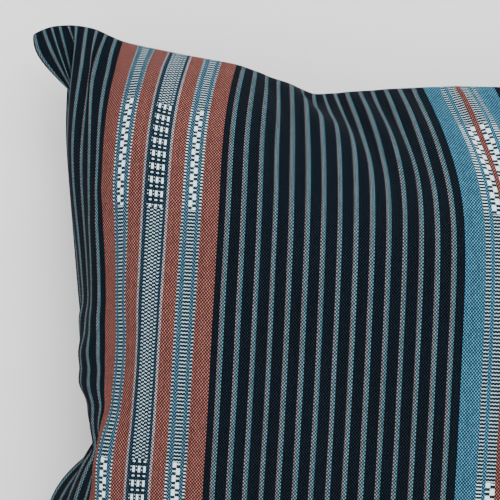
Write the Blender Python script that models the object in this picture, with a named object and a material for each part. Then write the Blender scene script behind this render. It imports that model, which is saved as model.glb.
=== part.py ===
"""A stuffed lumbar cushion: two rectangles of striped cloth sewn edge to edge, filled and lying on its back.

Metres, +Z up. X runs along the cushion, Y across it, and the origin is on the floor under its middle.
"""

import math
from typing import NamedTuple

import bmesh
import bpy
from mathutils import Vector

NAME = "cushion"

# Plan of the seam, measured from the middle of the cushion
SIDE_REACH = 0.208  # seam at the middle of a short side
EDGE_REACH = 0.170  # seam at the middle of a long edge
EAR_OUT_X = 0.064  # how much further an ear reaches along X than the middle of its short side
EAR_OUT_Y = 0.024  # how much further an ear reaches along Y than the middle of its long edge
SIDE_SWEEP = 3.6  # power of the curve that draws a short side in
EDGE_SWEEP = 2.6  # power of the curve that draws a long edge in
EAR_BLUNT = 0.94  # share of the way to a corner where its ear has its full reach
EAR_ROUND = 0.006  # how far the corner of an ear is rounded back, each way

# Heights
CROWN = 0.145
SEAM_HEIGHT = 0.070
SIDE_SEAM_DROP = 0.015  # the seam sinks by this at the middle of a short side

# Front panel: how the crown falls away to the seam
END_RADIUS = 0.072  # round of the blunt ends, past the flat top
END_TURN = math.radians(130)  # the ends turn past upright, so each panel bulges past the seam
SHOULDER = 0.118  # width of the slope along a long edge
SHOULDER_POWER = 1.6
CORNER_FULLNESS = 2.6  # higher keeps a corner thicker where the two slopes meet
DOME_X = 0.009  # how far the top has sunk where the blunt end begins
DOME_Y = 0.004  # how far it has sunk at the same share of the way across

# Back panel: flat on the floor, then a round up to the seam at the ends and a slope along the edges
BACK_END_RADIUS = 0.035
BACK_END_TURN = math.radians(165)
FLAT_Y = 0.078
LIFT_POWER = 1.9

# Grid of each panel, closer together near the seam
COLUMNS = 58
ROWS = 42
RIM_CROWDING = 0.55
RIM_BLEND = 5  # power by which the grids of both panels come to match along the long edges

CLOTH_COLOUR = (0.035, 0.055, 0.070)
CLOTH_ROUGHNESS = 0.9


class Fold(NamedTuple):
    """A valley that starts at the seam and runs inwards, fading over its length."""

    name: str
    x: float
    y: float
    heading: float  # degrees, 0 along +X, 90 along +Y
    length: float
    width: float
    depth: float  # how far the cloth sinks
    draw: float  # how far the seam is pulled along the heading
    front: float  # share of it on the front panel
    back: float  # share of it on the back panel


FOLDS = (
    Fold("top edge pucker", -0.104, 0.171, -92, 0.060, 0.009, 0.006, 0.010, 1.0, 0.6),
    Fold("left side pinch", -0.210, -0.039, -4, 0.052, 0.010, 0.012, 0.006, 1.0, 0.7),
    Fold("left side swell", -0.216, -0.086, 0, 0.060, 0.036, -0.003, -0.012, 1.0, 1.0),
    Fold("left ear crease", -0.228, 0.193, -94, 0.085, 0.007, 0.005, 0.000, 1.0, 0.5),
    Fold("left ear root", -0.236, 0.152, -52, 0.050, 0.010, 0.006, 0.005, 1.0, 1.0),
    Fold("lower left ear root", -0.238, -0.154, 48, 0.050, 0.010, 0.006, 0.004, 1.0, 1.0),
    Fold("lower left ear crease", -0.226, -0.193, 95, 0.070, 0.008, 0.004, 0.000, 0.7, 1.0),
    Fold("lower edge pucker", -0.088, -0.175, 88, 0.055, 0.010, 0.005, 0.007, 0.8, 1.0),
    Fold("lower right pucker", 0.112, -0.177, 93, 0.060, 0.010, 0.006, 0.008, 1.0, 0.7),
    Fold("top right pucker", 0.094, 0.175, -88, 0.055, 0.010, 0.005, 0.007, 1.0, 1.0),
    Fold("right side swell", 0.214, 0.080, 180, 0.060, 0.036, -0.003, -0.006, 1.0, 1.0),
    Fold("right side pinch", 0.210, 0.032, 183, 0.052, 0.011, 0.010, 0.008, 1.0, 0.8),
    Fold("right ear root", 0.236, 0.152, 230, 0.050, 0.010, 0.006, 0.005, 1.0, 1.0),
    Fold("right ear crease", 0.227, 0.193, 264, 0.070, 0.008, 0.004, 0.000, 1.0, 0.7),
    Fold("lower right ear root", 0.236, -0.152, 131, 0.050, 0.010, 0.006, 0.005, 1.0, 1.0),
)


def crowd(share):
    """Spreads grid lines so that they stand closer together near the seam."""
    even = abs(share)
    crowded = (1 - RIM_CROWDING) * even + RIM_CROWDING * math.sin(even * math.pi / 2)
    return math.copysign(crowded, share)


def end_section(u, v, radius, turn):
    """Reach along X and share of the fall, at a share of the way out to a blunt end."""
    flat = SIDE_REACH - radius * math.sin(turn)
    way = abs(u) * (flat + radius * turn)
    angle = max(0.0, way - flat) / radius
    x = min(way, flat) + radius * math.sin(angle)
    x += (SIDE_REACH * abs(crowd(u)) - x) * abs(v) ** RIM_BLEND
    return x, (1 - math.cos(angle)) / (1 - math.cos(turn))


def meet(ends, edges):
    """Joins the two slopes of a panel: each alone counts in full, and a corner keeps most of the lower one."""
    if min(ends, edges) <= 0:
        return 0.0
    both = ends**CORNER_FULLNESS + edges**CORNER_FULLNESS - (ends * edges) ** CORNER_FULLNESS
    return ends * edges / both ** (1 / CORNER_FULLNESS)


def front_shape(u, v):
    """Reach along X and Y in mid-panel, and the share of the crown left."""
    x, end_fall = end_section(u, v, END_RADIUS, END_TURN)
    y = EDGE_REACH * abs(crowd(v))
    edge_fall = max(0.0, 1 - (EDGE_REACH - y) / SHOULDER) ** SHOULDER_POWER
    height = meet(1 - end_fall, 1 - edge_fall)
    dome = (DOME_X * (x / SIDE_REACH) ** 2 + DOME_Y * (y / EDGE_REACH) ** 2) / (CROWN - SEAM_HEIGHT)
    return x, y, height * (1 - dome)


def back_shape(u, v):
    """The same for the back: what is left of the full depth down to the floor."""
    x, end_lift = end_section(u, v, BACK_END_RADIUS, BACK_END_TURN)
    y = EDGE_REACH * abs(crowd(v))
    edge_lift = max(0.0, (y - FLAT_Y) / (EDGE_REACH - FLAT_Y)) ** LIFT_POWER
    return x, y, meet(1 - end_lift, 1 - edge_lift)


def seam_height(u, v):
    return SEAM_HEIGHT - SIDE_SEAM_DROP * u * u * (1 - v * v)


def draw_out_ears(x, y, u, v):
    """Adds the reach of the ears to a point in plan, and rounds their points."""
    out_x = EAR_OUT_X * min(1.0, abs(v) / EAR_BLUNT) ** SIDE_SWEEP * abs(u) ** 3
    out_y = EAR_OUT_Y * min(1.0, abs(u) / EAR_BLUNT) ** EDGE_SWEEP * abs(v) ** 3
    corner_u = max(0.0, abs(u) - EAR_BLUNT) / (1 - EAR_BLUNT)
    corner_v = max(0.0, abs(v) - EAR_BLUNT) / (1 - EAR_BLUNT)
    corner = EAR_ROUND * corner_u * corner_v
    return (
        math.copysign(x + out_x - corner, u),
        math.copysign(y + out_y - corner, v),
    )


def fold_weight(fold, point):
    """How strongly a fold acts on a point in plan, 1 at its start on the seam."""
    heading = math.radians(fold.heading)
    along_x, along_y = math.cos(heading), math.sin(heading)
    way_x, way_y = point.x - fold.x, point.y - fold.y
    along = way_x * along_x + way_y * along_y
    across = way_x * along_y - way_y * along_x
    spread = fold.width * (1 + max(0.0, along) / fold.length)
    fade = math.exp(-((max(0.0, along) / (fold.length * 0.6)) ** 2))
    return fade * math.exp(-((across / spread) ** 2))


def shape_panel(bm, is_front):
    """Moves a flat grid that spans -1 to 1 to the panel's own surface."""
    panel = front_shape if is_front else back_shape
    for vert in bm.verts:
        u, v = vert.co.x, vert.co.y
        x, y, depth = panel(u, v)
        seam = seam_height(u, v)
        goal = CROWN if is_front else 0.0
        plan_x, plan_y = draw_out_ears(x, y, u, v)
        point = Vector((plan_x, plan_y, seam + (goal - seam) * depth))
        on_rim = max(abs(u), abs(v)) > 1 - 1e-6
        for fold in FOLDS:
            weight = fold_weight(fold, point)
            heading = math.radians(fold.heading)
            share = fold.front if is_front else fold.back
            steep = 1 - depth**6
            point.x += fold.draw * weight * math.cos(heading) * steep
            point.y += fold.draw * weight * math.sin(heading) * steep
            if not on_rim and (is_front or depth < 0.999):
                sink = fold.depth * share * weight * min(1.0, 4 * depth)
                point.z += -sink if is_front else sink
        point.z = max(point.z, 0.0)
        vert.co = point


def add_panel(bm, is_front):
    """Adds one shaped panel to the mesh of the cushion."""
    panel = bmesh.new()
    bmesh.ops.create_grid(panel, x_segments=COLUMNS, y_segments=ROWS, size=1.0)
    shape_panel(panel, is_front)
    if not is_front:
        bmesh.ops.reverse_faces(panel, faces=panel.faces)
    mesh = bpy.data.meshes.new("panel")
    panel.to_mesh(mesh)
    panel.free()
    bm.from_mesh(mesh)
    bpy.data.meshes.remove(mesh)


def centre_in_plan(bm):
    """Puts the middle of the plan box on the Z axis."""
    for axis in (0, 1):
        reach = [vert.co[axis] for vert in bm.verts]
        middle = (min(reach) + max(reach)) / 2
        for vert in bm.verts:
            vert.co[axis] -= middle


def cloth_material():
    material = bpy.data.materials.new("striped_cloth")
    material.use_nodes = True
    shader = material.node_tree.nodes["Principled BSDF"]
    shader.inputs["Base Color"].default_value = (*CLOTH_COLOUR, 1.0)
    shader.inputs["Roughness"].default_value = CLOTH_ROUGHNESS
    shader.inputs["Metallic"].default_value = 0.0
    return material


def make_cushion(collection):
    bm = bmesh.new()
    add_panel(bm, is_front=True)
    add_panel(bm, is_front=False)
    bmesh.ops.remove_doubles(bm, verts=bm.verts, dist=0.00005)
    centre_in_plan(bm)
    bmesh.ops.triangulate(bm, faces=bm.faces)
    mesh = bpy.data.meshes.new(NAME)
    bm.to_mesh(mesh)
    bm.free()
    mesh.shade_smooth()
    mesh.materials.append(cloth_material())
    collection.objects.link(bpy.data.objects.new(NAME, mesh))


def main():
    for old in list(bpy.data.objects):
        bpy.data.objects.remove(old)
    collection = bpy.data.collections.new("lumbar_cushion")
    bpy.context.scene.collection.children.link(collection)
    make_cushion(collection)


main()
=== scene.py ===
"""The looks of the striped lumbar cushion.

Its sewn and filled cover, its handwoven cloth, the floor, the camera and the light.
"""

import math
from typing import NamedTuple

import bmesh
import bpy
import numpy as np
from mathutils import Matrix, Vector


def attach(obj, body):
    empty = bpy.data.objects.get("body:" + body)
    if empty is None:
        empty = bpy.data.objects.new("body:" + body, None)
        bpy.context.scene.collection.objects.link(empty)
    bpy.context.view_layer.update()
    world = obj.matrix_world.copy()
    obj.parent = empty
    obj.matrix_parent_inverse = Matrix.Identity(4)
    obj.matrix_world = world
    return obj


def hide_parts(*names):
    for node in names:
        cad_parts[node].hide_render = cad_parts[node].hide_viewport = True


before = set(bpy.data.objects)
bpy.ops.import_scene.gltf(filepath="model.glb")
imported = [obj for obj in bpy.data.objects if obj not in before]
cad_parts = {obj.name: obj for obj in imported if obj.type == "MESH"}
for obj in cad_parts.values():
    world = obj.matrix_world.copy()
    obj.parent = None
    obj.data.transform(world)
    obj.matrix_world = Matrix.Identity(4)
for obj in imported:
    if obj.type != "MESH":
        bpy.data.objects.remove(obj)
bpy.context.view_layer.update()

MM = 0.001

# The cover, sewn from two flat pieces of cloth
HALF_LENGTH = 0.300
HALF_WIDTH = 0.190
COLUMNS = 120
ROWS = 80
CROWN = 0.145  # top of the front when it lies on its back

# The filling, as the cover feels it
FILL_PUSH = 0.00004  # move of the cloth outwards in one step, at the floor
FRONT_LEVEL = 0.26  # height where the filling would no longer push the front
BACK_LEVEL = 0.16
SETTLE_STEPS = 260
SETTLE_PASSES = 4
SETTLE_DRAG = 0.93
STRETCH_HOLD = 1.0  # how firmly a thread holds when it is pulled
SQUEEZE_HOLD = 0.06  # and when it is pushed together
SHEAR_HOLD = 0.12
BEND_HOLD = 0.05
LEAST_FILL = 0.002  # least height of the front over the same point of the back, inside the seam
THIN_EDGE = 0.055  # the filling thins out over this stretch along the long edges
EDGE_FILL = 0.15  # share of the filling that is left there
CROWN_HOLD = 0.1  # how firmly the front is kept from rising past the crown
GRIP = 0.02  # how firmly the filling keeps the flat top of the front from sliding
GRIP_FROM = 0.118  # it grips from this height up
GRIP_OVER = 0.02  # and in full this much higher
TUCK_PULL = 0.25  # share of its way that a tuck is drawn in one step
SEAM_FADE = 0.008  # creases fade over this stretch beside the seam
FADE_POWER = 0.7  # below 1 a crease keeps its depth for longer on its way

# The rough pillow that the cloth settles from: higher powers make it flatter and steeper at the rim
ROUGH_END = 4.5
ROUGH_EDGE = 2.6
ROUGH_RISE = 0.62


class SeamPoint(NamedTuple):
    """A place on the seam, in millimetres: how far along the flat cloth, and where it lies."""

    cloth: float
    x: float
    y: float
    z: float


TOP_SEAM = (
    SeamPoint(-300, -269, 191.3, 62),
    SeamPoint(-288.7, -262.5, 195.3, 63),
    SeamPoint(-272.4, -253, 197, 64),
    SeamPoint(-256, -243, 197.6, 65),
    SeamPoint(-240, -230, 195.2, 66),
    SeamPoint(-218.5, -215.8, 188.2, 67),
    SeamPoint(-185, -182, 182.6, 68),
    SeamPoint(-149.6, -148.2, 177.9, 69),
    SeamPoint(-128.2, -131.9, 172, 69),
    SeamPoint(-111.4, -118.9, 167.7, 69),
    SeamPoint(-103, -111.1, 164.2, 69),
    SeamPoint(-94.6, -104.3, 162.7, 69),
    SeamPoint(-86.2, -100.6, 162.9, 69),
    SeamPoint(-77.8, -94, 163.8, 69),
    SeamPoint(-61, -79.9, 165.5, 70),
    SeamPoint(-44.2, -65.9, 167.3, 70),
    SeamPoint(-21.3, -44.2, 169.4, 70),
    SeamPoint(0, -26.3, 171, 70),
    SeamPoint(26, -1.1, 171.5, 70),
    SeamPoint(80, 50, 171.3, 70),
    SeamPoint(130, 98, 172.3, 70),
    SeamPoint(148, 114, 168.3, 69),
    SeamPoint(165, 130, 172.8, 69),
    SeamPoint(218, 182, 178.8, 68),
    SeamPoint(250, 214, 185.8, 66),
    SeamPoint(280, 248, 194.8, 64),
    SeamPoint(300, 266, 190.8, 62),
)
LOWER_SEAM = (
    SeamPoint(-300, -266.0, -187.0, 62),
    SeamPoint(-284, -254.0, -192.0, 64),
    SeamPoint(-256, -231.0, -186.0, 66),
    SeamPoint(-218, -196.0, -178.0, 68),
    SeamPoint(-150, -136.0, -170.0, 69),
    SeamPoint(-118, -108.0, -166.0, 69),
    SeamPoint(-104, -98.0, -162.0, 69),
    SeamPoint(-90, -88.0, -166.0, 69),
    SeamPoint(-40, -38.0, -169.0, 70),
    SeamPoint(0, 2.0, -170.0, 70),
    SeamPoint(60, 56.0, -169.0, 70),
    SeamPoint(100, 92.0, -167.0, 69),
    SeamPoint(116, 103.0, -162.0, 69),
    SeamPoint(132, 116.0, -167.0, 69),
    SeamPoint(190, 168.0, -173.0, 68),
    SeamPoint(240, 214.0, -183.0, 66),
    SeamPoint(278, 250.0, -192.0, 64),
    SeamPoint(300, 265.0, -187.0, 62),
)
LEFT_SEAM = (
    SeamPoint(191, -269.0, 191.3, 62),
    SeamPoint(187, -275.0, 185.5, 61),
    SeamPoint(178, -269.0, 174.8, 61),
    SeamPoint(169, -258.5, 165.0, 62),
    SeamPoint(160, -248.0, 156.5, 63),
    SeamPoint(152, -238.0, 149.0, 63),
    SeamPoint(138, -224.0, 137.0, 58),
    SeamPoint(110, -216.0, 110.0, 53),
    SeamPoint(60, -210.5, 60.0, 50),
    SeamPoint(20, -206.0, 20.0, 50),
    SeamPoint(-10, -200.0, -12.0, 55),
    SeamPoint(-30, -198.0, -30.0, 62),
    SeamPoint(-41, -200.0, -39.0, 68),
    SeamPoint(-50, -223.0, -46.6, 68),
    SeamPoint(-58.5, -229.6, -54.6, 68),
    SeamPoint(-67.5, -237.8, -62.2, 67),
    SeamPoint(-83.5, -246.1, -76.7, 66),
    SeamPoint(-108, -250.0, -100.0, 65),
    SeamPoint(-139, -253.0, -130.0, 64),
    SeamPoint(-164, -260.0, -160.0, 63),
    SeamPoint(-186, -270.0, -180.0, 62),
    SeamPoint(-191, -266.0, -187.0, 62),
)
RIGHT_SEAM = (
    SeamPoint(191, 266.0, 190.8, 62),
    SeamPoint(186, 271.5, 184.5, 62),
    SeamPoint(166, 256.0, 162.0, 63),
    SeamPoint(146, 240.0, 141.0, 62),
    SeamPoint(120, 228.0, 113.0, 58),
    SeamPoint(70, 218.0, 66.0, 57),
    SeamPoint(46, 213.0, 43.0, 58),
    SeamPoint(34, 207.0, 32.0, 60),
    SeamPoint(20, 211.0, 19.0, 57),
    SeamPoint(-20, 210.0, -19.0, 55),
    SeamPoint(-70, 214.0, -68.0, 56),
    SeamPoint(-120, 225.0, -114.0, 58),
    SeamPoint(-148, 241.0, -143.0, 62),
    SeamPoint(-168, 257.0, -163.0, 62),
    SeamPoint(-186, 270.0, -180.0, 62),
    SeamPoint(-191, 265.0, -187.0, 62),
)


class Tuck(NamedTuple):
    """A spot where a panel is caught and drawn in: its place on the flat cloth and in space, in mm."""

    cloth_x: float
    cloth_y: float
    x: float
    y: float
    z: float
    reach: float


FRONT_TUCKS = (
    Tuck(-284, -38, -209, -36, 82, 8),
    Tuck(-262, -38, -212, -36, 97, 9),
    Tuck(-242, -39, -214, -38, 110, 9),
    Tuck(-224, -40, -212, -39, 121, 8),
    Tuck(-284, 150, -238, 148, 74, 9),
    Tuck(-200, 152, -201.5, 153.3, 92.8, 28),
    Tuck(-190, -72, -192.5, -71.6, 133.0, 26),
)
BACK_TUCKS = (
    Tuck(-284, -38, -211, -37, 55, 8),
    Tuck(-262, -38, -219, -37, 40, 9),
    Tuck(-240, -38, -222, -37, 22, 9),
)


class Crease(NamedTuple):
    """A valley pressed into a panel between two places on the flat cloth, in mm.

    It is deepest at the first and fades towards the second. A ridge has a negative depth.
    """

    from_x: float
    from_y: float
    to_x: float
    to_y: float
    width: float
    depth: float


FRONT_CREASES = (
    Crease(-300, -40, -222, -42, 6, 4),
    Crease(-215, -18, -214, 92, 14, 10),
    Crease(-221, -40, -223, -120, 8, 5),
    Crease(-300, -31, -262, -24, 3, 2.0),
    Crease(-300, -50, -258, -64, 3, 2.0),
    Crease(-292, 16, -236, 12, 4, 2.5),
    Crease(-270, 28, -206, 24, 6, -1.5),
    Crease(-197, 170, -197, 5, 12, -5),
    Crease(-225, 166, -225, 78, 9, 5),
    Crease(-240, 24, -238, 155, 10, 5),
    Crease(-248, -8, -248, 34, 9, -3.5),
    Crease(-200, 18, -202, -34, 12, 3),
    Crease(-214, -62, -214, -110, 10, 4),
    Crease(-268, 3, -216, 0, 4, 2.5),
    Crease(-262, -15, -218, -20, 4, 2),
    Crease(-96, 191, -91, 150, 7, 3.0),
    Crease(-262, 191, -266, 120, 5, 5.0),
)


def linear(hex_colour):
    """The linear colour of an sRGB hex value."""
    shares = [int(hex_colour[at : at + 2], 16) / 255 for at in (1, 3, 5)]
    light = [share / 12.92 if share <= 0.04045 else ((share + 0.055) / 1.055) ** 2.4 for share in shares]
    return (*light, 1.0)


def along_seam(table, cloth):
    """Where the seam lies, in metres, at an array of distances along the cloth."""
    rows = sorted(table)
    known = [row.cloth * MM for row in rows]
    places = [np.interp(cloth, known, [axis * MM for axis in column]) for column in list(zip(*rows))[1:]]
    line = np.stack(places, axis=-1)
    for _ in range(2):
        line[1:-1] = 0.25 * line[:-2] + 0.5 * line[1:-1] + 0.25 * line[2:]
    return line


def flat_grid():
    """Where the columns and the rows of grid points lie on the flat cloth."""
    across = np.linspace(-HALF_LENGTH, HALF_LENGTH, COLUMNS + 1)[:, None]
    up = np.linspace(-HALF_WIDTH, HALF_WIDTH, ROWS + 1)[None]
    return across, up


def seam_frame():
    """The four edges of both panels, as they are sewn and drawn in."""
    across, up = flat_grid()
    return (
        along_seam(LOWER_SEAM, across[:, 0]),
        along_seam(TOP_SEAM, across[:, 0]),
        along_seam(LEFT_SEAM, up[0]),
        along_seam(RIGHT_SEAM, up[0]),
    )


def first_shape(edges, is_front):
    """A rough pillow between the four edges, from which the cloth settles."""
    lower, top, left, right = edges
    to_right = np.linspace(0, 1, COLUMNS + 1)[:, None, None]
    to_top = np.linspace(0, 1, ROWS + 1)[None, :, None]
    to_left = 1 - to_right
    to_lower = 1 - to_top
    shape = to_lower * lower[:, None] + to_top * top[:, None] + to_left * left[None] + to_right * right[None]
    shape -= to_left * to_lower * lower[0] + to_right * to_lower * lower[-1]
    shape -= to_left * to_top * top[0] + to_right * to_top * top[-1]
    out_to_end = np.abs(2 * to_right[..., 0] - 1)
    out_to_edge = np.abs(2 * to_top[..., 0] - 1)
    rise = ((1 - out_to_end**ROUGH_END) * (1 - out_to_edge**ROUGH_EDGE)) ** ROUGH_RISE
    goal = CROWN if is_front else 0.0
    shape[..., 2] += (goal - shape[..., 2]) * rise
    return shape


def hold_pairs(points, pairs, stretch_hold, squeeze_hold):
    """Brings pairs of points back towards their distance on the flat cloth."""
    for first, second, rest in pairs:
        gap = points[second] - points[first]
        length = np.linalg.norm(gap, axis=-1, keepdims=True)
        excess = (length - rest) / np.maximum(length, 1e-9)
        move = gap * excess * 0.5 * np.where(excess > 0, stretch_hold, squeeze_hold)
        points[first] += move
        points[second] -= move


def thread_pairs():
    """Slices of neighbouring points along both sets of threads, with their distance on the flat cloth."""
    step_x = 2 * HALF_LENGTH / COLUMNS
    step_y = 2 * HALF_WIDTH / ROWS
    pairs = []
    for start in (0, 1):
        last = COLUMNS if (COLUMNS - start) % 2 else COLUMNS - 1
        pairs.append((np.s_[start:last:2, :], np.s_[start + 1 : last + 1 : 2, :], step_x))
        last = ROWS if (ROWS - start) % 2 else ROWS - 1
        pairs.append((np.s_[:, start:last:2], np.s_[:, start + 1 : last + 1 : 2], step_y))
    return pairs


def shear_pairs():
    """Slices of points that lie corner to corner, with their distance on the flat cloth."""
    step = math.hypot(2 * HALF_LENGTH / COLUMNS, 2 * HALF_WIDTH / ROWS)
    pairs = []
    for start in (0, 1):
        last = COLUMNS if (COLUMNS - start) % 2 else COLUMNS - 1
        near = slice(start, last, 2)
        far = slice(start + 1, last + 1, 2)
        pairs.append((np.s_[near, :-1], np.s_[far, 1:], step))
        pairs.append((np.s_[near, 1:], np.s_[far, :-1], step))
    return pairs


def tucks_of(table):
    """For each tuck its grid point, where that is drawn to, and how much each point of the panel follows."""
    across, up = flat_grid()
    found = []
    for tuck in table:
        apart = np.hypot(across - tuck.cloth_x * MM, up - tuck.cloth_y * MM)
        spot = np.unravel_index(apart.argmin(), apart.shape)
        weight = np.exp(-((apart / (tuck.reach * MM)) ** 2))[..., None]
        found.append((spot, np.array((tuck.x, tuck.y, tuck.z)) * MM, weight))
    return found


def facing(points):
    """The direction square to a panel at each of its points."""
    normal = np.cross(np.gradient(points, axis=0), np.gradient(points, axis=1))
    return normal / (np.linalg.norm(normal, axis=-1, keepdims=True) + 1e-12)


def hold_rim(points, rim):
    """Puts the outermost points back on the seam."""
    points[0], points[-1] = rim[0], rim[-1]
    points[:, 0], points[:, -1] = rim[:, 0], rim[:, -1]


def settle(points, caught, is_front):
    """Lets the filling push one panel out in small steps, as the seam and the threads pull it back."""
    rim = points.copy()
    before = points.copy()
    out = 1 if is_front else -1
    level = FRONT_LEVEL if is_front else BACK_LEVEL
    tucks = tucks_of(caught)
    threads = thread_pairs()
    shears = shear_pairs()
    across, up = flat_grid()
    stuffed = np.clip((HALF_WIDTH - np.abs(up[..., None])) / THIN_EDGE, EDGE_FILL, 1)
    for _ in range(SETTLE_STEPS):
        drift = (points - before) * SETTLE_DRAG
        before = points.copy()
        push = 1 - points[..., 2:] / level
        points += drift + out * facing(points) * push * stuffed * FILL_PUSH
        if is_front:
            flatness = np.clip((points[..., 2] - GRIP_FROM) / GRIP_OVER, 0, 1)
            points[..., 0] += GRIP * flatness * (across - points[..., 0])
            points[..., 2] -= CROWN_HOLD * np.maximum(points[..., 2] - CROWN, 0)
        for (column, row), goal, weight in tucks:
            points += TUCK_PULL * weight * (goal - points[column, row])
        for _ in range(SETTLE_PASSES):
            hold_pairs(points, threads, STRETCH_HOLD, SQUEEZE_HOLD)
            hold_rim(points, rim)
            hold_pairs(points, shears, SHEAR_HOLD, SHEAR_HOLD)
        inner = points[1:-1, 1:-1]
        around = points[2:, 1:-1] + points[:-2, 1:-1] + points[1:-1, 2:] + points[1:-1, :-2]
        inner += BEND_HOLD * (around / 4 - inner)
        np.maximum(points[..., 2], 0.0, out=points[..., 2])
        hold_rim(points, rim)
    return points


def press(points, creases):
    """Presses the creases into the settled front panel, fading towards their ends and at the seam."""
    across, up = flat_grid()
    inset = np.minimum(HALF_LENGTH - np.abs(across), HALF_WIDTH - np.abs(up))
    at_seam = np.clip(inset / SEAM_FADE, 0, 1)
    sunk = np.zeros(points.shape[:2])
    for crease in creases:
        start = np.array((crease.from_x, crease.from_y)) * MM
        way = np.array((crease.to_x, crease.to_y)) * MM - start
        share = ((across - start[0]) * way[0] + (up - start[1]) * way[1]) / (way @ way)
        share = np.clip(share, 0, 1)
        apart = np.hypot(across - start[0] - share * way[0], up - start[1] - share * way[1])
        fade = np.exp(-((apart / (crease.width * MM)) ** 2)) * (1 - share**2) ** FADE_POWER
        sunk += crease.depth * MM * fade
    points -= facing(points) * (sunk * at_seam)[..., None]
    return points


def keep_apart(front, back):
    """Parts the panels where they have sunk into each other, each by half of what is missing.

    It compares the same points of the cloth only, so the tightest folds still cross a little.
    """
    inner = np.s_[1:-1, 1:-1, 2]
    lift = np.maximum(LEAST_FILL - front[inner] + back[inner], 0) / 2
    front[inner] += lift
    back[inner] -= lift
    np.maximum(back[..., 2], 0.0, out=back[..., 2])


def cover_mesh(front, back):
    """Joins the two settled panels along the seam, with the cloth's own coordinates as UV."""
    bm = bmesh.new()
    cloth = bm.loops.layers.uv.new("cloth")
    for points, is_front in ((front, True), (back, False)):
        made = bmesh.ops.create_grid(bm, x_segments=COLUMNS, y_segments=ROWS, size=1.0)["verts"]
        faces = list({face for vert in made for face in vert.link_faces})
        if not is_front:
            bmesh.ops.reverse_faces(bm, faces=faces)
        for face in faces:
            for loop in face.loops:
                loop[cloth].uv = (loop.vert.co.x * HALF_LENGTH, loop.vert.co.y * HALF_WIDTH)
        for vert in made:
            column = round((vert.co.x + 1) / 2 * COLUMNS)
            row = round((vert.co.y + 1) / 2 * ROWS)
            vert.co = Vector(points[column, row])
    bmesh.ops.remove_doubles(bm, verts=bm.verts, dist=1e-6)
    mesh = bpy.data.meshes.new("cushion_cover")
    bm.to_mesh(mesh)
    bm.free()
    mesh.shade_smooth()
    return mesh


def add_node(tree, kind, inputs=(), **settings):
    """Adds one node: its settings, and for each input a value, the linked socket or None to skip it."""
    node = tree.nodes.new(kind)
    for name, value in settings.items():
        setattr(node, name, value)
    for place, value in inputs.items() if isinstance(inputs, dict) else enumerate(inputs):
        if isinstance(value, bpy.types.NodeSocket):
            tree.links.new(value, node.inputs[place])
        elif value is not None:
            node.inputs[place].default_value = value
    return node


class Stripe(NamedTuple):
    """A stripe of the warp, from this many millimetres off the middle line to where the next one starts."""

    start: float
    colour: str
    inner_bars: float = 0.0  # white bars across the stripe, nearer the middle line
    outer_bars: float = 0.0
    dots: float = 0.0
    checks: float = 0.0
    pinstripes: float = 0.0


# The dyes of the yarn
GROUND = "#080f16"
RUST = "#5c3833"
BLUE = "#2e576b"
PATTERN_BLUE = "#2f4a59"
WHITE_LINE = "#746e72"
NAVY = "#162835"
CHECK_GROUND = "#274252"
FIGURE_WHITE = "#b2cfde"

# One repeat of the dark ground: where in it each shade of its fine line starts
LINE_STEPS = ((0, GROUND), (0.34, "#31525b"), (0.46, "#415158"), (0.52, "#4d4b4f"), (0.65, GROUND))

STRIPES = (
    Stripe(0.0, RUST),
    Stripe(1.5, PATTERN_BLUE, inner_bars=1),
    Stripe(3.85, PATTERN_BLUE, outer_bars=1),
    Stripe(6.2, BLUE),
    Stripe(8.2, PATTERN_BLUE, dots=1),
    Stripe(10.8, BLUE),
    Stripe(21.3, GROUND, pinstripes=1),
    Stripe(149.6, RUST),
    Stripe(159.0, PATTERN_BLUE, dots=1),
    Stripe(160.0, PATTERN_BLUE),
    Stripe(162.2, PATTERN_BLUE, inner_bars=1),
    Stripe(164.2, PATTERN_BLUE, outer_bars=1),
    Stripe(166.2, PATTERN_BLUE),
    Stripe(168.4, PATTERN_BLUE, dots=1),
    Stripe(169.4, RUST),
    Stripe(176.9, WHITE_LINE),
    Stripe(178.1, NAVY),
    Stripe(179.7, CHECK_GROUND, checks=1),
    Stripe(188.2, NAVY),
    Stripe(189.7, WHITE_LINE),
    Stripe(190.9, RUST),
    Stripe(198.4, PATTERN_BLUE, dots=1),
    Stripe(199.4, PATTERN_BLUE),
    Stripe(201.6, PATTERN_BLUE, inner_bars=1),
    Stripe(203.6, PATTERN_BLUE, outer_bars=1),
    Stripe(205.6, PATTERN_BLUE),
    Stripe(207.8, PATTERN_BLUE, dots=1),
    Stripe(208.8, RUST),
    Stripe(218.2, GROUND, pinstripes=1),
)

# The fine lines of the dark ground, in mm off the middle line, and their repeat
INNER_LINES = 23.2
INNER_REPEAT = 8.4
OUTER_LINES = 219.3
OUTER_REPEAT = 8.15
OUTER_GROUND = 200.0  # past this the outer repeat holds

# The columns of the checks and of their motif, in mm
CHECKS_FROM = 179.65
CHECK_WIDTH = 1.74
BLOCK_WIDTH = 2.85

# The white figures, as shares of their repeat or of their column
FIGURE_AT = 0.25  # middle of a bar, check or block
DASH_AT = 0.74  # middle of the thin dash after a block of the bars
THIN_AT = 0.72  # and after a block of the checks
HALF_BAR = 0.165
HALF_CHECK = 0.19
HALF_CHECK_WIDTH = 0.40
HALF_BLOCK = 0.23
HALF_TALL = 0.22
HALF_TALL_WIDTH = 0.22
HALF_DASH = 0.05
TICKS_FROM = 0.44  # ticks stand in the rest of the column, past this much either way

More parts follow.
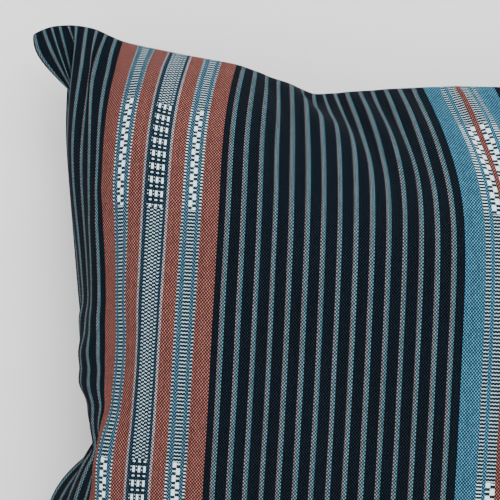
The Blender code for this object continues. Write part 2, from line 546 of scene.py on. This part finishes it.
# The weave and its motifs, in mm
PICK = 0.92  # one weft thread
THREAD = 0.78  # one warp thread, drawn coarser than the real one so that it shows
MOTIF_PICKS = 8  # picks in one row of a motif
MOTIFS = ((43, 103.5), (232, 300))  # where the bars and checks turn into motifs, from the upper seam
RUN_SPAN = 400.0  # the ramp of the motifs reads this much cloth, from the upper seam
MOTIF_RISE = 7.5  # the upper motif lies this much nearer the seam in the middle band
MIDDLE_FIGURES = 30.0  # the figures of the middle band lie within this of the middle line
MIDDLE_BAND = 24.0  # the ramps read this much at the middle line, then go on from the outer band
OUTER_BAND = 149.6
RAMP_SPAN = 100.0  # a ramp has 256 steps, so the stripes come out true to 0.4 mm

# How the threads wander: waves of about 11 mm across the stripes and 70 mm along them
WAVER = 0.5  # how far at most, in mm
WAVER_SCALE = (90, 14, 1)

# Light and shade of the weave painted into the colour, and the uneven dye of the yarn, as shares of its dyed
# colour
ROUND_ALONG = 4.0  # a float falls away to nothing at both ends
ROUND_ACROSS = 2.4  # and by less at its sides, where the next one lies close
FLOAT_SHARPNESS = 3.0  # how quickly a float darkens from its middle
# Painted light at the middle of a float, and painted shade in the gaps between floats
FLOAT_LIGHT = 3.2
GAP_LIGHT = 0.01
LONG_FLOAT_LIGHT = 1.5  # white floats of a motif pass over many picks and stay bright: painted light without the painted shade between picks
PICK_SHADOW = 0.75
YARN_LIGHT = 0.72
SPECKLE = 0.5
STREAK = 0.24
PATCHINESS = 0.3
PATCH_SCALE = 25.0  # patches of about 40 mm
WHITEST = (0.72, 0.86, 0.92)  # linear shares of the light that the white yarn never exceeds

# The surface of the cotton
RAISED_WHITE = 0.35  # how far white stands above the ground, in heights of a float
RELIEF = {"Strength": 0.55, "Distance": 0.0003}
COTTON_ROUGHNESS = 0.9
COTTON_SPECULAR = 0.06


# Sockets of a node that mixes colours
FACTOR = 0
FIRST_COLOUR = 6
SECOND_COLOUR = 7
MIXED_COLOUR = 2


def ramp_place(start):
    """Where on the ramps of the stripes a place off the middle line lies."""
    return (min(start, MIDDLE_BAND) + max(start - OUTER_BAND, 0)) / RAMP_SPAN


def fill_ramp(ramp, stops):
    """Gives a ramp its steps, without blending: each is a place from 0 to 1 and its colour."""
    ramp.color_ramp.interpolation = "CONSTANT"
    points = ramp.color_ramp.elements
    points.remove(points[1])
    points[0].position, points[0].color = stops[0]
    for place, colour in stops[1:]:
        points.new(place).color = colour


def woven_cloth():
    """Handwoven cotton, its close coloured warp threads passing over thick picks.

    To the eye it is matt and ribbed across the stripes, with a grain of single unevenly dyed threads.
    """
    material = bpy.data.materials.new("handwoven_striped_cotton")
    material.use_nodes = True
    tree = material.node_tree
    shader = tree.nodes["Principled BSDF"]
    math_node = "ShaderNodeMath"

    # Millimetres from the middle line, and down from the upper seam
    cloth = add_node(tree, "ShaderNodeUVMap", uv_map="cloth").outputs[0]
    waver = add_node(tree, "ShaderNodeMapping", {0: cloth, "Scale": WAVER_SCALE}).outputs[0]
    waver = add_node(tree, "ShaderNodeTexNoise", {"Vector": waver, "Scale": 1.0, "Detail": 2.0}).outputs[0]
    places = add_node(tree, "ShaderNodeSeparateXYZ", [cloth])
    across = add_node(tree, math_node, [places.outputs[0], 1000.0], operation="MULTIPLY").outputs[0]
    across = add_node(tree, math_node, [waver, WAVER, across], operation="MULTIPLY_ADD").outputs[0]
    off_middle = add_node(tree, math_node, [across], operation="ABSOLUTE").outputs[0]
    to_run = [places.outputs[1], -1000.0, HALF_WIDTH * 1000]
    run = add_node(tree, math_node, to_run, operation="MULTIPLY_ADD").outputs[0]

    # The stripes, and where each kind of figure lies
    outwards = add_node(tree, math_node, [off_middle, OUTER_BAND], operation="SUBTRACT").outputs[0]
    outwards = add_node(tree, math_node, [outwards, 0.0], operation="MAXIMUM").outputs[0]
    share = add_node(tree, math_node, [off_middle, MIDDLE_BAND], operation="MINIMUM").outputs[0]
    share = add_node(tree, math_node, [share, outwards], operation="ADD").outputs[0]
    share = add_node(tree, math_node, [share, RAMP_SPAN], operation="DIVIDE").outputs[0]
    dyed = add_node(tree, "ShaderNodeValToRGB", [share])
    fill_ramp(dyed, [(ramp_place(row.start), linear(row.colour)) for row in STRIPES])
    colour = dyed.outputs[0]
    figures = add_node(tree, "ShaderNodeValToRGB", [share])
    marks = [(row.inner_bars, row.outer_bars, row.dots, 1) for row in STRIPES]
    fill_ramp(figures, [(ramp_place(row.start), mark) for row, mark in zip(STRIPES, marks)])
    inner_bars, outer_bars, dots = add_node(tree, "ShaderNodeSeparateColor", [figures.outputs[0]]).outputs
    grounds = add_node(tree, "ShaderNodeValToRGB", [share])
    fill_ramp(grounds, [(ramp_place(row.start), (row.checks, row.pinstripes, 0, 1)) for row in STRIPES])
    checks, pinstripes, _ = add_node(tree, "ShaderNodeSeparateColor", [grounds.outputs[0]]).outputs
    upper = add_node(tree, math_node, [run, HALF_WIDTH * 1000], operation="LESS_THAN").outputs[0]
    rise = add_node(tree, math_node, [off_middle, MIDDLE_FIGURES], operation="LESS_THAN").outputs[0]
    rise = add_node(tree, math_node, [rise, upper], operation="MULTIPLY").outputs[0]
    down = add_node(tree, math_node, [rise, MOTIF_RISE, run], operation="MULTIPLY_ADD").outputs[0]
    down = add_node(tree, math_node, [down, RUN_SPAN], operation="DIVIDE").outputs[0]
    zones = add_node(tree, "ShaderNodeValToRGB", [down])
    bands = [(0, (0, 0, 0, 1))]
    for start, end in MOTIFS:
        bands += [(start / RUN_SPAN, (1, 1, 1, 1)), (end / RUN_SPAN, (0, 0, 0, 1))]
    fill_ramp(zones, bands)
    in_motif = zones.outputs[0]

    # Warp threads: each float covers two picks and lies one pick on from the float beside it
    column = add_node(tree, math_node, [across, THREAD], operation="DIVIDE").outputs[0]
    column_number = add_node(tree, math_node, [column], operation="FLOOR").outputs[0]
    shift = add_node(tree, math_node, [column_number, 2.0], operation="FLOORED_MODULO").outputs[0]
    pair = add_node(tree, math_node, [run, 2 * PICK], operation="DIVIDE").outputs[0]
    brick = add_node(tree, math_node, [shift, 0.5, pair], operation="MULTIPLY_ADD").outputs[0]
    brick_number = add_node(tree, math_node, [brick], operation="FLOOR").outputs[0]
    rounds = []
    for place, fall in ((brick, ROUND_ALONG), (column, ROUND_ACROSS)):
        way = add_node(tree, math_node, [place], operation="FRACT").outputs[0]
        way = add_node(tree, math_node, [way, 0.5], operation="SUBTRACT").outputs[0]
        way = add_node(tree, math_node, [way, way], operation="MULTIPLY").outputs[0]
        rounds.append(add_node(tree, math_node, [way, -fall, 1.0], operation="MULTIPLY_ADD").outputs[0])
    float_height = add_node(tree, math_node, rounds, operation="MULTIPLY").outputs[0]
    float_light = add_node(tree, math_node, [float_height, FLOAT_SHARPNESS], operation="POWER").outputs[0]
    thread = add_node(tree, "ShaderNodeCombineXYZ", [column_number, brick_number]).outputs[0]
    speckle = add_node(tree, "ShaderNodeTexWhiteNoise", [thread], noise_dimensions="2D").outputs[0]
    by_column = {"W": column_number}
    streak = add_node(tree, "ShaderNodeTexWhiteNoise", by_column, noise_dimensions="1D").outputs[0]

    # Fine lines on the dark ground, red on the outer side and blue on the inner
    outer_zone = add_node(tree, math_node, [off_middle, OUTER_GROUND], operation="GREATER_THAN").outputs[0]
    repeats = []
    for first, repeat in ((INNER_LINES, INNER_REPEAT), (OUTER_LINES, OUTER_REPEAT)):
        place = add_node(tree, math_node, [off_middle, first], operation="SUBTRACT").outputs[0]
        repeats.append(add_node(tree, math_node, [place, repeat], operation="DIVIDE").outputs[0])
    repeat = add_node(tree, "ShaderNodeMix", [outer_zone, None, *repeats]).outputs[0]
    repeat = add_node(tree, math_node, [repeat], operation="FRACT").outputs[0]
    lines = add_node(tree, "ShaderNodeValToRGB", [repeat])
    fill_ramp(lines, [(place, linear(shade)) for place, shade in LINE_STEPS])
    shown = {FACTOR: pinstripes, FIRST_COLOUR: colour, SECOND_COLOUR: lines.outputs[0]}
    colour = add_node(tree, "ShaderNodeMix", shown, data_type="RGBA").outputs[MIXED_COLOUR]

    # White bars and dots on one pick of two
    bar = add_node(tree, math_node, [pair], operation="FRACT").outputs[0]
    bar = add_node(tree, math_node, [bar, FIGURE_AT, HALF_BAR], operation="COMPARE").outputs[0]
    bars = add_node(tree, math_node, [inner_bars, outer_bars], operation="ADD").outputs[0]
    figured = add_node(tree, math_node, [bars, dots], operation="MAXIMUM").outputs[0]
    figured = add_node(tree, math_node, [figured, checks], operation="MAXIMUM").outputs[0]
    dots = add_node(tree, math_node, [dots, bar], operation="MULTIPLY").outputs[0]

    # Their motif: blocks left and right in turn, with a thin dash after each
    row = add_node(tree, math_node, [run, MOTIF_PICKS * PICK], operation="DIVIDE").outputs[0]
    row = add_node(tree, math_node, [outer_bars, 0.5, row], operation="MULTIPLY_ADD").outputs[0]
    row = add_node(tree, math_node, [row], operation="FRACT").outputs[0]
    zigzag = add_node(tree, math_node, [row, FIGURE_AT, HALF_BLOCK], operation="COMPARE").outputs[0]
    dash = add_node(tree, math_node, [row, DASH_AT, HALF_DASH], operation="COMPARE").outputs[0]
    zigzag = add_node(tree, math_node, [zigzag, dash], operation="MAXIMUM").outputs[0]
    zigzag = add_node(tree, "ShaderNodeMix", [in_motif, None, bar, zigzag]).outputs[0]
    zigzag = add_node(tree, math_node, [zigzag, bars], operation="MULTIPLY").outputs[0]

    # Checks in five columns, and their motif of blocks in three
    check_column = add_node(tree, math_node, [off_middle, CHECKS_FROM], operation="SUBTRACT").outputs[0]
    fifth = add_node(tree, math_node, [check_column, CHECK_WIDTH], operation="DIVIDE").outputs[0]
    fifth_number = add_node(tree, math_node, [fifth], operation="FLOOR").outputs[0]
    cell = add_node(tree, math_node, [fifth_number, 0.5, pair], operation="MULTIPLY_ADD").outputs[0]
    cell = add_node(tree, math_node, [cell], operation="FRACT").outputs[0]
    cell = add_node(tree, math_node, [cell, FIGURE_AT, HALF_CHECK], operation="COMPARE").outputs[0]
    fifth = add_node(tree, math_node, [fifth], operation="FRACT").outputs[0]
    fifth = add_node(tree, math_node, [fifth, 0.5, HALF_CHECK_WIDTH], operation="COMPARE").outputs[0]
    plain_checks = add_node(tree, math_node, [cell, fifth], operation="MULTIPLY").outputs[0]
    third = add_node(tree, math_node, [check_column, BLOCK_WIDTH], operation="DIVIDE").outputs[0]
    third = add_node(tree, math_node, [third], operation="FRACT").outputs[0]
    beside = add_node(tree, math_node, [third, 0.5, TICKS_FROM], operation="COMPARE").outputs[0]
    beside = add_node(tree, math_node, [1.0, beside], operation="SUBTRACT").outputs[0]
    third = add_node(tree, math_node, [third, 0.5, HALF_TALL_WIDTH], operation="COMPARE").outputs[0]
    tall = add_node(tree, math_node, [row, FIGURE_AT, HALF_TALL], operation="COMPARE").outputs[0]
    thin = add_node(tree, math_node, [row, THIN_AT, HALF_DASH], operation="COMPARE").outputs[0]
    ticks = add_node(tree, math_node, [tall, bar], operation="MULTIPLY").outputs[0]
    ticks = add_node(tree, math_node, [ticks, beside], operation="MULTIPLY").outputs[0]
    blocks = add_node(tree, math_node, [tall, thin], operation="MAXIMUM").outputs[0]
    blocks = add_node(tree, "ShaderNodeMix", [third, None, ticks, blocks]).outputs[0]
    squares = add_node(tree, "ShaderNodeMix", [in_motif, None, plain_checks, blocks]).outputs[0]
    squares = add_node(tree, math_node, [squares, checks], operation="MULTIPLY").outputs[0]

    white = add_node(tree, math_node, [zigzag, dots], operation="MAXIMUM").outputs[0]
    white = add_node(tree, math_node, [white, squares], operation="MAXIMUM").outputs[0]
    shown = {FACTOR: white, FIRST_COLOUR: colour, SECOND_COLOUR: linear(FIGURE_WHITE)}
    colour = add_node(tree, "ShaderNodeMix", shown, data_type="RGBA").outputs[MIXED_COLOUR]

    # Between the figures the picks lie in shadow
    figured = add_node(tree, math_node, [figured, white], operation="SUBTRACT").outputs[0]
    shadow = add_node(tree, math_node, [figured, -PICK_SHADOW, 1.0], operation="MULTIPLY_ADD").outputs[0]

    # Painted light on the floats and painted shade between them, and yarn that isn't dyed quite evenly
    light = [float_light, FLOAT_LIGHT, GAP_LIGHT]
    # depth here is the painted light and shade of the floats, not a height
    depth = add_node(tree, math_node, light, operation="MULTIPLY_ADD").outputs[0]
    depth = add_node(tree, math_node, [depth, shadow], operation="MULTIPLY").outputs[0]
    long_float = add_node(tree, math_node, [in_motif, white], operation="MULTIPLY").outputs[0]
    depth = add_node(tree, "ShaderNodeMix", [long_float, None, depth, LONG_FLOAT_LIGHT]).outputs[0]
    uneven = add_node(tree, math_node, [speckle, SPECKLE, YARN_LIGHT], operation="MULTIPLY_ADD").outputs[0]
    uneven = add_node(tree, math_node, [streak, STREAK, uneven], operation="MULTIPLY_ADD").outputs[0]
    broad = {"Vector": cloth, "Scale": PATCH_SCALE, "Detail": 3.0}
    patches = add_node(tree, "ShaderNodeTexNoise", broad).outputs[0]
    uneven = add_node(tree, math_node, [patches, PATCHINESS, uneven], operation="MULTIPLY_ADD").outputs[0]
    shade = add_node(tree, math_node, [depth, uneven], operation="MULTIPLY").outputs[0]
    colour = add_node(tree, "ShaderNodeVectorMath", [colour, shade], operation="MULTIPLY").outputs[0]
    colour = add_node(tree, "ShaderNodeVectorMath", [colour, WHITEST], operation="MINIMUM").outputs[0]
    tree.links.new(colour, shader.inputs["Base Color"])

    height = [white, RAISED_WHITE, float_height]
    raised = add_node(tree, math_node, height, operation="MULTIPLY_ADD").outputs[0]
    bump = add_node(tree, "ShaderNodeBump", {"Height": raised, **RELIEF}).outputs[0]
    tree.links.new(bump, shader.inputs["Normal"])
    shader.inputs["Roughness"].default_value = COTTON_ROUGHNESS
    shader.inputs["Specular IOR Level"].default_value = COTTON_SPECULAR
    return material


def make_cushion():
    """Shapes both panels, joins them and gives the cover its cloth."""
    edges = seam_frame()
    front = press(settle(first_shape(edges, True), FRONT_TUCKS, True), FRONT_CREASES)
    back = settle(first_shape(edges, False), BACK_TUCKS, False)
    keep_apart(front, back)
    mesh = cover_mesh(front, back)
    cover = bpy.data.objects.new("cushion_cover", mesh)
    bpy.context.scene.collection.objects.link(cover)
    mesh.materials.append(woven_cloth())
    finer = cover.modifiers.new("finer", "SUBSURF")
    finer.levels = 1
    finer.render_levels = 1
    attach(cover, "root")
    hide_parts("cushion")


# The camera: nearly straight down, from 0.75 m above the crown
VIEW_HEIGHT = 0.75
VIEW_X = -0.0919
VIEW_Y = 0.0671
TURN = math.radians(3)  # the cushion lies turned clockwise by this in the view
AIM_X = -0.1331
AIM_Y = 0.0701
LENS = 105.0
SENSOR = 36.0


def add_camera():
    """Looks at the upper left part of the cushion, as in the photo."""
    data = bpy.data.cameras.new("camera")
    data.lens = LENS
    data.sensor_width = SENSOR
    camera = bpy.data.objects.new("camera", data)
    bpy.context.scene.collection.objects.link(camera)
    place = Vector((VIEW_X, VIEW_Y, CROWN + VIEW_HEIGHT))
    # The picture's upward side lies in the plane of the crown, so that the picture keeps its turn
    up = Vector((-math.sin(TURN), math.cos(TURN), 0))
    away = (place - Vector((AIM_X, AIM_Y, CROWN))).normalized()
    right = up.cross(away).normalized()
    top = away.cross(right)
    camera.matrix_world = Matrix((right, top, away)).transposed().to_4x4()
    camera.location = place
    bpy.context.scene.camera = camera


FLOOR_REACH = 3.0
FLOOR_COLOUR = "#f2f2f2"
FLOOR_ROUGHNESS = 0.8


def add_floor():
    """A board in matt white paint, which gives the eye an even pale ground without a gloss."""
    bm = bmesh.new()
    bmesh.ops.create_grid(bm, x_segments=1, y_segments=1, size=FLOOR_REACH)
    mesh = bpy.data.meshes.new("floor")
    bm.to_mesh(mesh)
    bm.free()
    floor = bpy.data.objects.new("floor", mesh)
    bpy.context.scene.collection.objects.link(floor)
    material = bpy.data.materials.new("matt_white_paint")
    material.use_nodes = True
    shader = material.node_tree.nodes["Principled BSDF"]
    shader.inputs["Base Color"].default_value = linear(FLOOR_COLOUR)
    shader.inputs["Roughness"].default_value = FLOOR_ROUGHNESS
    mesh.materials.append(material)


def add_area_light(name, place, aim, size, power):
    """Hangs a soft square light, its size in metres and its power in watts."""
    data = bpy.data.lights.new(name, "AREA")
    data.size = size
    data.energy = power
    light = bpy.data.objects.new(name, data)
    bpy.context.scene.collection.objects.link(light)
    light.location = place
    light.rotation_euler = (Vector(aim) - Vector(place)).to_track_quat("-Z", "Y").to_euler()


make_cushion()
add_floor()
add_camera()
add_area_light("window_light", place=(0.5, 1.2, 2.4), aim=(-0.1, 0, 0.1), size=1.8, power=95)
add_area_light("fill_light", place=(-1.2, -0.8, 2.4), aim=(0, 0, 0.1), size=2.5, power=25)
world = bpy.data.worlds.new("studio")
bpy.context.scene.world = world
world.use_nodes = True
background = world.node_tree.nodes["Background"]
background.inputs["Color"].default_value = (1, 1, 1, 1)
background.inputs["Strength"].default_value = 0.9
